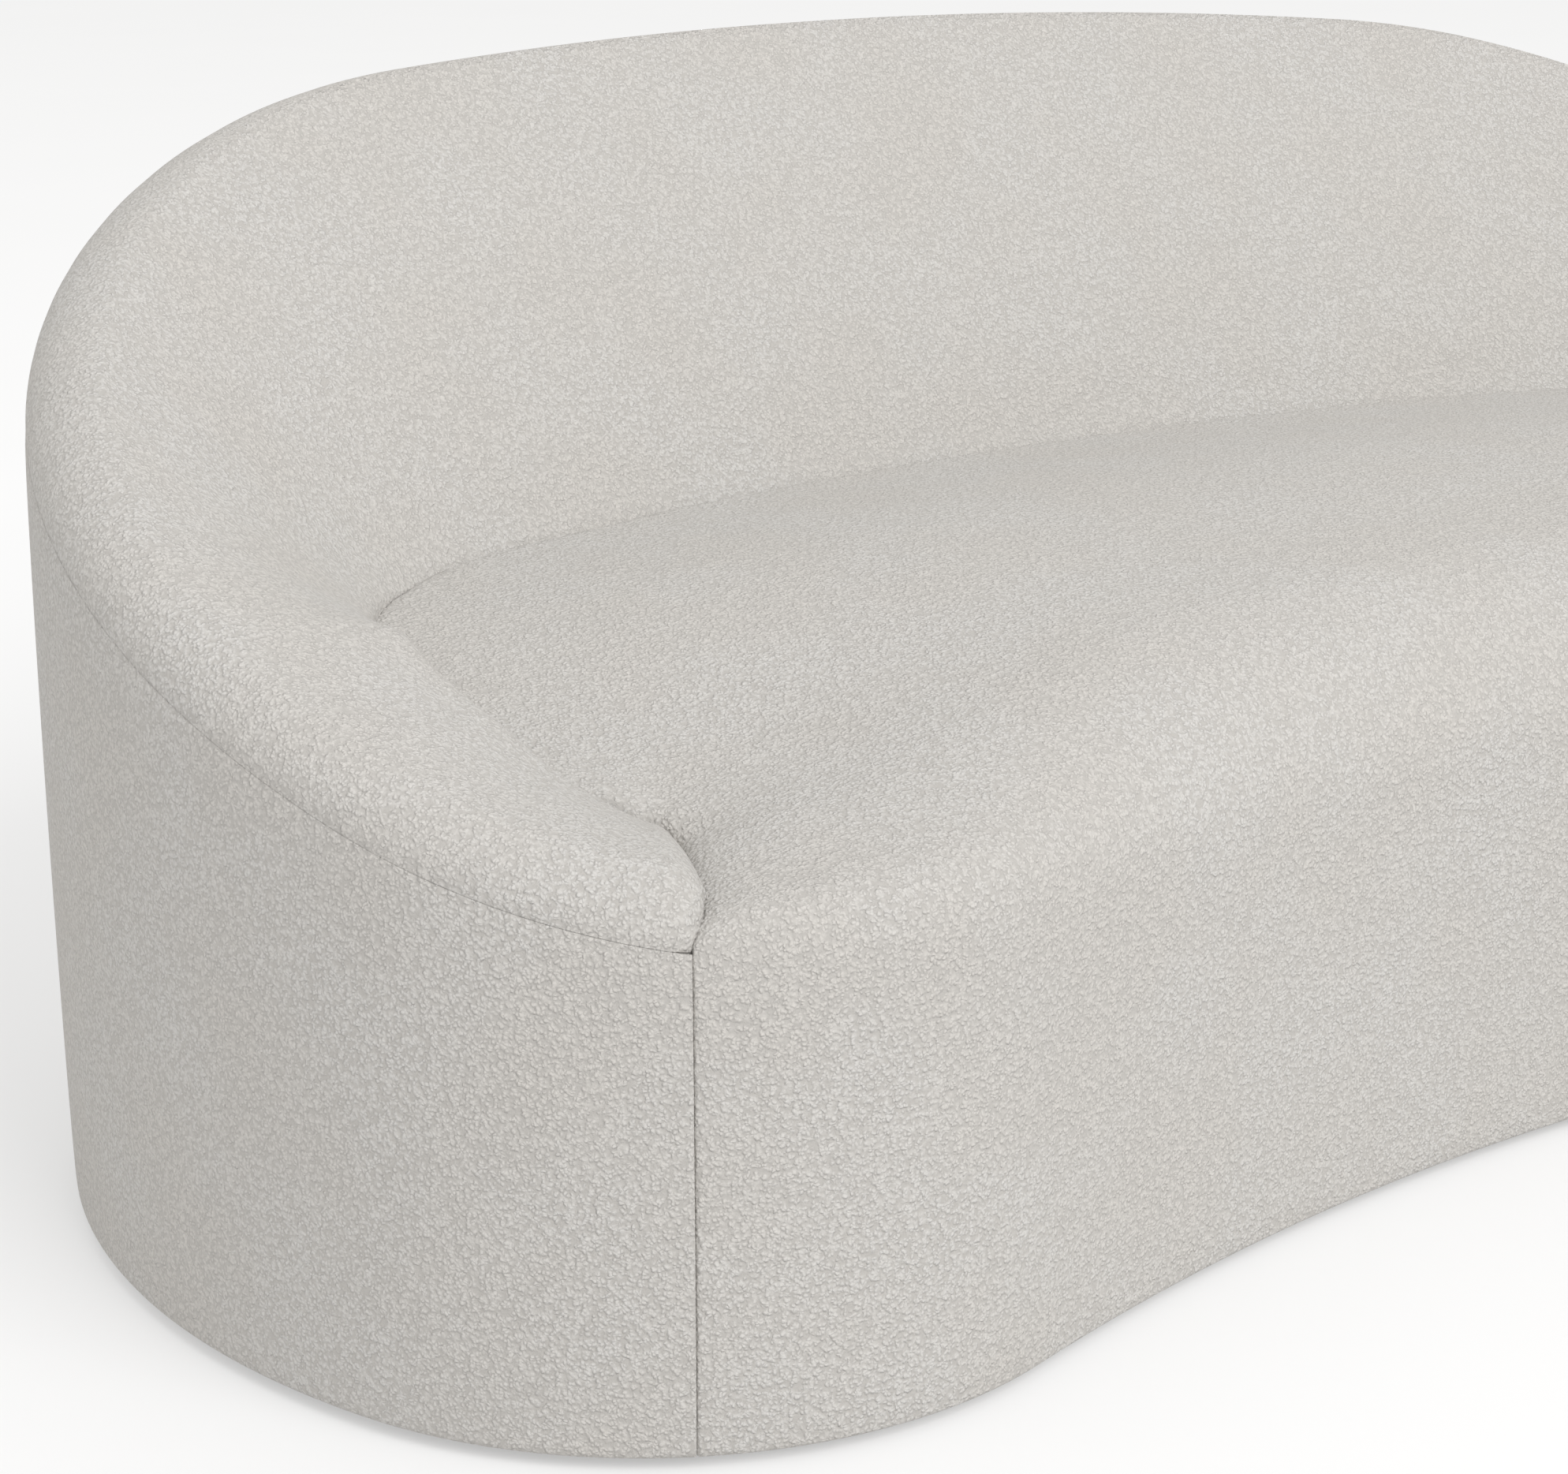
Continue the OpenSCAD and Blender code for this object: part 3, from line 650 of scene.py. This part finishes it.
    rows = []
    roll_z0 = seat_z - roll_drop
    for k in range(1, roll_rows + 1):
        a = math.pi / 2 * (1 - k / roll_rows)
        swell = roll_swell * math.sin(2 * a)
        t = roll_run * (1 - math.cos(a)) - swell * math.cos(a)
        z = roll_z0 + roll_drop * math.sin(a) + swell * math.sin(a)
        size = math.hypot(roll_drop * math.cos(a), roll_run * math.sin(a))
        rows.append(front_row(t, z, roll_drop * math.cos(a) / size, roll_run * math.sin(a) / size))
    for k in range(1, front_rows + 1):
        z = roll_z0 + (hem_z + hem_r - roll_z0) * k / front_rows
        rows.append(front_row(0.0, z, 1.0, 0.0))
    for a in np.radians([30, 60, 90]):
        t = hem_r * (1 - math.cos(a))
        z = hem_z + hem_r * (1 - math.sin(a))
        rows.append(front_row(t, z, math.cos(a), -math.sin(a)))
    rows.append(front_row(flap_t - flap_short, hem_z + seam_gap, 0.0, -1.0))
    for row, normal, below in rows:
        grids.append(row[:, None])
        normals.append(normal[:, None])
        under.append(below[:, None])
    face = np.concatenate(grids, 1)
    normal = np.concatenate(normals, 1)
    under = np.concatenate(under, 1)
    over_pad = face[..., 2] - pad_z
    depth = np.maximum(np.minimum(over_pad - side_clear, side_deepest), side_shallowest)
    depth[:, : flat.shape[1]] = over_pad[:, : flat.shape[1]] * seat_side_share
    sides = [face[:1] - normal[:1] * (depth[:1] * share)[..., None] for share in side_depths]
    others = [face[-1:] - normal[-1:] * (depth[-1:] * share)[..., None] for share in side_depths[::-1]]
    face = np.concatenate(sides + [face] + others, 0)
    n = len(side_depths)
    under = np.concatenate([under[:1]] * n + [under] + [under[-1:]] * n, 0)
    crease_rows = [face[:, :1].copy() for _ in side_depths]
    for row, share in zip(crease_rows, side_depths):
        row[..., 2] -= (row[..., 2] - pad_z) * crease_side_share * share
    face = np.concatenate(crease_rows + [face], 1)
    under = np.concatenate([under[:, :1]] * n + [under], 1)

    across = np.linalg.norm(np.diff(face, axis=0), axis=2).mean(1)
    along = np.linalg.norm(np.diff(face, axis=1), axis=2).mean(0)
    u = np.concatenate([[0], np.cumsum(across)])
    v = np.concatenate([[0], np.cumsum(along)])
    uv = np.stack(np.meshgrid(u, v, indexing="ij"), -1)
    piece, count, i, j = closed_pad("seat_and_front_cover", face, under, uv)
    row_count = face.shape[1]
    row = np.arange(row_count)
    row_hold = 1 - ease((row - n - 3) / 6) * ease((row_count - 5 - row) / 6)
    column = np.minimum(np.arange(len(u)), len(u) - 1 - np.arange(len(u)))
    column_hold = 1 - ease((column - n - 5) / 6)
    held = np.maximum(row_hold[j], column_hold[i])
    puff(piece, np.concatenate([held, np.ones(count)]), seat_puff)
    smooth(piece)
    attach(piece, "root")
    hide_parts("seat_cover", "front_cover", "seat_foam_core", "seat_foam_topper", "front_wadding")
    return piece


# ---------------------------------------------------------------- materials
def feed(tree, socket, value):
    """Gives a node's input a value, or wires another node's output to it."""
    if isinstance(value, bpy.types.NodeSocket):
        tree.links.new(value, socket)
    else:
        socket.default_value = value


def put(tree, kind, inputs=None, **settings):
    """Adds a node: settings are its properties, inputs are values or the sockets that feed it."""
    node = tree.nodes.new(kind)
    for key, value in settings.items():
        setattr(node, key, value)
    for key, value in (inputs or {}).items():
        feed(tree, node.inputs[key], value)
    return node


def math_of(tree, operation, a, b=0.0, clamp=False):
    return put(tree, "ShaderNodeMath", {0: a, 1: b}, operation=operation, use_clamp=clamp).outputs[0]


def between(tree, value, low, high, out_low=0.0, out_high=1.0):
    wires = {"Value": value, "From Min": low, "From Max": high, "To Min": out_low, "To Max": out_high}
    return put(tree, "ShaderNodeMapRange", wires, interpolation_type="SMOOTHSTEP").outputs["Result"]


def mixed(tree, share, first, second):
    node = put(tree, "ShaderNodeMix", {0: share}, data_type="RGBA")
    for socket, value in ((node.inputs[6], first), (node.inputs[7], second)):
        if isinstance(value, bpy.types.NodeSocket):
            tree.links.new(value, socket)
        else:
            socket.default_value = (*value, 1)
    return node.outputs[2]


def effect(name, inputs, outputs):
    """An empty node group with named inputs and outputs."""
    tree = bpy.data.node_groups.new(name, "ShaderNodeTree")
    for label, kind, value in inputs:
        socket = tree.interface.new_socket(label, in_out="INPUT", socket_type=kind)
        if value is not None:
            socket.default_value = value
    for label, kind in outputs:
        tree.interface.new_socket(label, in_out="OUTPUT", socket_type=kind)
    return tree, tree.nodes.new("NodeGroupInput").outputs, tree.nodes.new("NodeGroupOutput").inputs


NUMBER, PLACE, COLOUR = "NodeSocketFloat", "NodeSocketVector", "NodeSocketColor"


def boucle_loops():
    """Small knotted loops of yarn, with fibres on them."""
    tree, given, made = effect(
        "boucle_loops",
        [("Vector", PLACE, None), ("Loops per metre", NUMBER, 270.0)],
        [("Height", NUMBER), ("Tone", NUMBER)])
    per = given["Loops per metre"]
    place = given["Vector"]
    wander = put(tree, "ShaderNodeTexNoise", {"Vector": place, "Scale": math_of(tree, "MULTIPLY", per, 0.5),
                                              "Detail": 2.0}).outputs["Color"]
    centred = put(tree, "ShaderNodeVectorMath", {0: wander, 1: (0.5, 0.5, 0.5)},
                  operation="SUBTRACT").outputs[0]
    drift = put(tree, "ShaderNodeVectorMath", {0: centred, "Scale": math_of(tree, "DIVIDE", 1.3, per)},
                operation="SCALE").outputs[0]
    bent = put(tree, "ShaderNodeVectorMath", {0: place, 1: drift}, operation="ADD").outputs[0]
    small = put(tree, "ShaderNodeTexVoronoi", {"Vector": bent, "Scale": per}).outputs["Distance"]
    large = put(tree, "ShaderNodeTexVoronoi",
                {"Vector": bent, "Scale": math_of(tree, "MULTIPLY", per, 0.58)}).outputs["Distance"]
    knots = between(tree, small, 0.1, 0.75, 1.0, 0.0)
    loops = between(tree, large, 0.1, 0.8, 1.0, 0.0)
    fibre = put(tree, "ShaderNodeTexNoise", {"Vector": bent, "Scale": math_of(tree, "MULTIPLY", per, 3.5),
                                             "Detail": 3.0}).outputs["Fac"]
    pile = math_of(tree, "ADD", math_of(tree, "MULTIPLY", knots, 0.5),
                   math_of(tree, "MULTIPLY", loops, 0.3))
    height = math_of(tree, "ADD", pile, math_of(tree, "MULTIPLY", fibre, 0.25))
    tree.links.new(height, made["Height"])
    tree.links.new(between(tree, height, 0.15, 0.65), made["Tone"])
    return tree


def seam_pull():
    """Small gathers and a shadow line along a seam, from the distance to it."""
    tree, given, made = effect(
        "seam_pull",
        [("UV", PLACE, None), ("Reach", NUMBER, 0.014)],
        [("Gather", NUMBER), ("Line", NUMBER)])
    parts = put(tree, "ShaderNodeSeparateXYZ", {0: given["UV"]})
    off = math_of(tree, "ABSOLUTE", parts.outputs["Y"])
    near = math_of(tree, "SUBTRACT", 1.0, math_of(tree, "DIVIDE", off, given["Reach"]), clamp=True)
    wave = math_of(tree, "SINE", math_of(tree, "MULTIPLY", parts.outputs["X"], 700.0))
    tree.links.new(math_of(tree, "MULTIPLY", near, wave), made["Gather"])
    tree.links.new(between(tree, off, 0.001, 0.005, 1.0, 0.0), made["Line"])
    return tree


def wood_grain():
    """Long grain along X, with growth bands and pores."""
    tree, given, made = effect(
        "wood_grain",
        [("Vector", PLACE, None), ("Light", COLOUR, (0.7, 0.55, 0.36, 1)),
         ("Dark", COLOUR, (0.5, 0.35, 0.2, 1)), ("Bands per metre", NUMBER, 60.0)],
        [("Color", COLOUR), ("Height", NUMBER)])
    long = put(tree, "ShaderNodeVectorMath", {0: given["Vector"], 1: (0.12, 1.0, 1.0)},
               operation="MULTIPLY").outputs[0]
    band = put(tree, "ShaderNodeTexNoise", {"Vector": long, "Scale": given["Bands per metre"],
                                            "Detail": 4.0, "Distortion": 0.6}).outputs["Fac"]
    pore = put(tree, "ShaderNodeTexNoise", {"Vector": long, "Scale": math_of(
        tree, "MULTIPLY", given["Bands per metre"], 14.0), "Detail": 2.0}).outputs["Fac"]
    share = math_of(tree, "ADD", between(tree, band, 0.3, 0.7), math_of(
        tree, "MULTIPLY", between(tree, pore, 0.55, 0.7), 0.35), clamp=True)
    blend = put(tree, "ShaderNodeMix", {0: share}, data_type="RGBA")
    tree.links.new(given["Light"], blend.inputs[6])
    tree.links.new(given["Dark"], blend.inputs[7])
    tree.links.new(blend.outputs[2], made["Color"])
    tree.links.new(math_of(tree, "SUBTRACT", 1.0, share), made["Height"])
    return tree


def plain_weave():
    """Warp and weft threads crossing over and under."""
    tree, given, made = effect(
        "plain_weave", [("Vector", PLACE, None), ("Threads per metre", NUMBER, 500.0)],
        [("Height", NUMBER), ("Thread", NUMBER)])
    parts = put(tree, "ShaderNodeSeparateXYZ", {0: given["Vector"]})
    turns = math_of(tree, "MULTIPLY", given["Threads per metre"], math.pi)
    flat = math_of(tree, "ADD", parts.outputs["Y"], parts.outputs["Z"])
    a = math_of(tree, "SINE", math_of(tree, "MULTIPLY", parts.outputs["X"], turns))
    b = math_of(tree, "SINE", math_of(tree, "MULTIPLY", flat, turns))
    cross = math_of(tree, "MULTIPLY", a, b)
    slub = put(tree, "ShaderNodeTexNoise", {"Vector": given["Vector"], "Scale": math_of(
        tree, "MULTIPLY", given["Threads per metre"], 0.4), "Detail": 2.0}).outputs["Fac"]
    height = math_of(tree, "ADD", math_of(tree, "MULTIPLY", math_of(tree, "ABSOLUTE", cross), 0.7),
                     math_of(tree, "MULTIPLY", slub, 0.3))
    tree.links.new(height, made["Height"])
    tree.links.new(between(tree, height, 0.1, 0.8), made["Thread"])
    return tree


GROUPS = {"boucle": boucle_loops(), "seam": seam_pull(), "grain": wood_grain(), "weave": plain_weave()}


def place_group(tree, name, inputs):
    node = put(tree, "ShaderNodeGroup", node_tree=GROUPS[name])
    for key, value in inputs.items():
        feed(tree, node.inputs[key], value)
    return node.outputs


def finish_of(made, colour, roughness, height, depth, **plain):
    """Closes a material: colour and roughness feed the shader, height its bump, plain its other inputs."""
    tree = made.node_tree
    wires = {"Strength": 1.0, "Distance": depth, "Height": height}
    bump = put(tree, "ShaderNodeBump", wires).outputs["Normal"]
    shader = put(tree, "ShaderNodeBsdfPrincipled", {"Normal": bump, **plain})
    feed(tree, shader.inputs["Base Color"], colour)
    feed(tree, shader.inputs["Roughness"], roughness)
    out = put(tree, "ShaderNodeOutputMaterial")
    tree.links.new(shader.outputs[0], out.inputs["Surface"])


def material(name):
    made = bpy.data.materials.new(name)
    made.use_nodes = True
    made.node_tree.nodes.clear()
    return made, made.node_tree, put(made.node_tree, "ShaderNodeTexCoord").outputs


def speckle(tree, at, scale, detail):
    """Plain noise in the piece's own frame."""
    return put(tree, "ShaderNodeTexNoise",
               {"Vector": at["Object"], "Scale": scale, "Detail": detail}).outputs["Fac"]


yarn_light = (0.575, 0.561, 0.540)
yarn_shade = (0.445, 0.428, 0.405)
yarn_warm = (0.565, 0.543, 0.513)
seam_shade = (0.3, 0.285, 0.265)
boucle_loops_per_m = 370.0
boucle_depth = 1.8 * mm
seam_reach = 0.014


def boucle(name, seams):
    """Off-white boucle. With seams it darkens and gathers along the seam that its UV is measured from."""
    made, tree, at = material(name)
    loops = place_group(tree, "boucle", {"Vector": at["Object"], "Loops per metre": boucle_loops_per_m})
    patch = speckle(tree, at, 9.0, 3.0)
    fleck = speckle(tree, at, 130.0, 2.0)
    light = mixed(tree, between(tree, patch, 0.35, 0.65), yarn_light, yarn_warm)
    light = mixed(tree, between(tree, fleck, 0.5, 0.75, 0.0, 0.35), light, yarn_warm)
    colour = mixed(tree, loops["Tone"], yarn_shade, light)
    height = loops["Height"]
    if seams:
        pull = place_group(tree, "seam", {"UV": at["UV"], "Reach": seam_reach})
        height = math_of(tree, "ADD", height, math_of(tree, "MULTIPLY", pull["Gather"], 0.35))
        colour = mixed(tree, math_of(tree, "MULTIPLY", pull["Line"], 0.08), colour, seam_shade)
    finish_of(made, colour, 0.95, height, boucle_depth,
              **{"Sheen Weight": 0.06, "Sheen Roughness": 0.6, "Specular IOR Level": 0.15})
    return made


def wood(name, light, dark, bands, roughness):
    made, tree, at = material(name)
    grain = place_group(tree, "grain", {"Vector": at["Object"], "Light": (*light, 1), "Dark": (*dark, 1),
                                        "Bands per metre": bands})
    sheen = between(tree, grain["Height"], 0.0, 1.0, roughness + 0.12, roughness)
    finish_of(made, grain["Color"], sheen, grain["Height"], 0.25 * mm)
    return made


def woven(name, light, dark, threads, depth):
    made, tree, at = material(name)
    weave = place_group(tree, "weave", {"Vector": at["Object"], "Threads per metre": threads})
    colour = mixed(tree, weave["Thread"], dark, light)
    finish_of(made, colour, 0.9, weave["Height"], depth, **{"Sheen Weight": 0.1})
    return made


def speckled(name, light, dark, scale, roughness, depth, **plain):
    """Felt, wadding, fibreboard and plated steel: a fine two-tone grain."""
    made, tree, at = material(name)
    fine = speckle(tree, at, scale, 4.0)
    broad = speckle(tree, at, scale / 12, 2.0)
    share = math_of(tree, "ADD", math_of(tree, "MULTIPLY", fine, 0.7),
                    math_of(tree, "MULTIPLY", broad, 0.3))
    colour = mixed(tree, between(tree, share, 0.35, 0.65), dark, light)
    rough = between(tree, share, 0.3, 0.7, roughness + 0.08, roughness)
    finish_of(made, colour, rough, fine, depth, **plain)
    return made


def dress_frame():
    """Every part of the frame gets its own material."""
    plywood = wood("birch_plywood", (0.72, 0.56, 0.36), (0.52, 0.37, 0.2), 70.0, 0.55)
    beech = wood("oiled_beech", (0.56, 0.35, 0.19), (0.38, 0.21, 0.1), 120.0, 0.4)
    zinc = speckled("zinc_plate", (0.62, 0.63, 0.64), (0.45, 0.46, 0.48), 400.0, 0.35, 0.05 * mm,
                    Metallic=1.0)
    felt = speckled("grey_felt", (0.09, 0.09, 0.09), (0.03, 0.03, 0.03), 900.0, 0.9, 0.4 * mm)
    board = speckled("fibreboard", (0.36, 0.24, 0.13), (0.22, 0.14, 0.07), 700.0, 0.7, 0.15 * mm)
    wadding = speckled("wadding", (0.85, 0.85, 0.82), (0.7, 0.7, 0.67), 250.0, 0.9, 1.5 * mm)
    webbing = woven("elastic_webbing", (0.05, 0.05, 0.05), (0.012, 0.012, 0.012), 420.0, 0.5 * mm)
    hessian = woven("hessian", (0.45, 0.33, 0.18), (0.2, 0.13, 0.06), 330.0, 0.7 * mm)
    dust = woven("dust_cloth", (0.03, 0.03, 0.032), (0.008, 0.008, 0.009), 900.0, 0.2 * mm)
    by_slot = {"plywood": plywood, "hardwood": beech, "fasteners": zinc, "felt": felt, "fibreboard": board,
               "wadding": wadding, "webbing": webbing, "hessian": hessian, "dust_cloth": dust}
    for row in frame["record"]["subparts"]:
        node = frame["nodes"][row["node"]]
        if row["material_slot"] in by_slot and not node.hide_render:
            node.data.materials.clear()
            node.data.materials.append(by_slot[row["material_slot"]])


# ---------------------------------------------------------------- studio
floor_size = 60
floor_glow = 0.39
sky_colour = (1.0, 0.995, 0.985, 1)
sky_strength = 0.95
key_place = (1.2, -10.8, 10.0)
key_aim = (0, 0, 0.3)
key_size = 9.0
key_power = 1120
camera_lens = 72.38
camera_place = (-1.7134, -1.9300, 0.9780)
camera_down = 0.2920
camera_right = 0.5927


def studio():
    """Pale floor that glows a little, soft light from the front and right, and the camera."""
    scene = bpy.context.scene
    scene.view_settings.view_transform = "Standard"
    bpy.ops.object.select_all(action="DESELECT")
    bpy.ops.mesh.primitive_plane_add(size=floor_size, location=(0, 0, 0))
    floor = bpy.context.object
    floor.name = "floor"
    paint, tree, at = material("pale_glowing_floor")
    tone = speckle(tree, at, 1.5, 2.0)
    colour = mixed(tree, tone, (0.495, 0.495, 0.495), (0.505, 0.505, 0.505))
    # The floor glows: painted light that keeps it evenly bright, softens the shadows on it and lights the
    # sofa a little from below.
    finish_of(paint, colour, 0.9, tone, 0.01 * mm,
              **{"Emission Color": (1, 1, 1, 1), "Emission Strength": floor_glow,
                 "Specular IOR Level": 0.0})
    floor.data.materials.append(paint)

    world = bpy.data.worlds.new("soft_room")
    scene.world = world
    world.use_nodes = True
    sky = world.node_tree.nodes["Background"].inputs
    sky["Color"].default_value = sky_colour
    sky["Strength"].default_value = sky_strength

    data = bpy.data.lights.new("key", "AREA")
    data.size = key_size
    data.energy = key_power
    lamp = bpy.data.objects.new("key", data)
    scene.collection.objects.link(lamp)
    lamp.location = key_place
    x, y, z = np.array(key_aim) - np.array(key_place)
    lamp.rotation_euler = (math.atan2(math.hypot(x, y), -z), 0, math.atan2(y, x) - math.pi / 2)

    data = bpy.data.cameras.new("camera")
    data.lens = camera_lens
    data.sensor_width = 36
    data.clip_end = 100
    camera = bpy.data.objects.new("camera", data)
    scene.collection.objects.link(camera)
    camera.location = camera_place
    camera.rotation_euler = (math.pi / 2 - camera_down, 0, -camera_right)
    scene.camera = camera


# ---------------------------------------------------------------- build
fabric_plain = boucle("boucle_fabric", False)
fabric_seamed = boucle("boucle_fabric_at_seam", True)
for cover, fabric in ((back_and_arms(), fabric_seamed), (outer_wall(), fabric_seamed),
                      (seat_and_front(), fabric_plain)):
    cover.data.materials.append(fabric)
dress_frame()
studio()
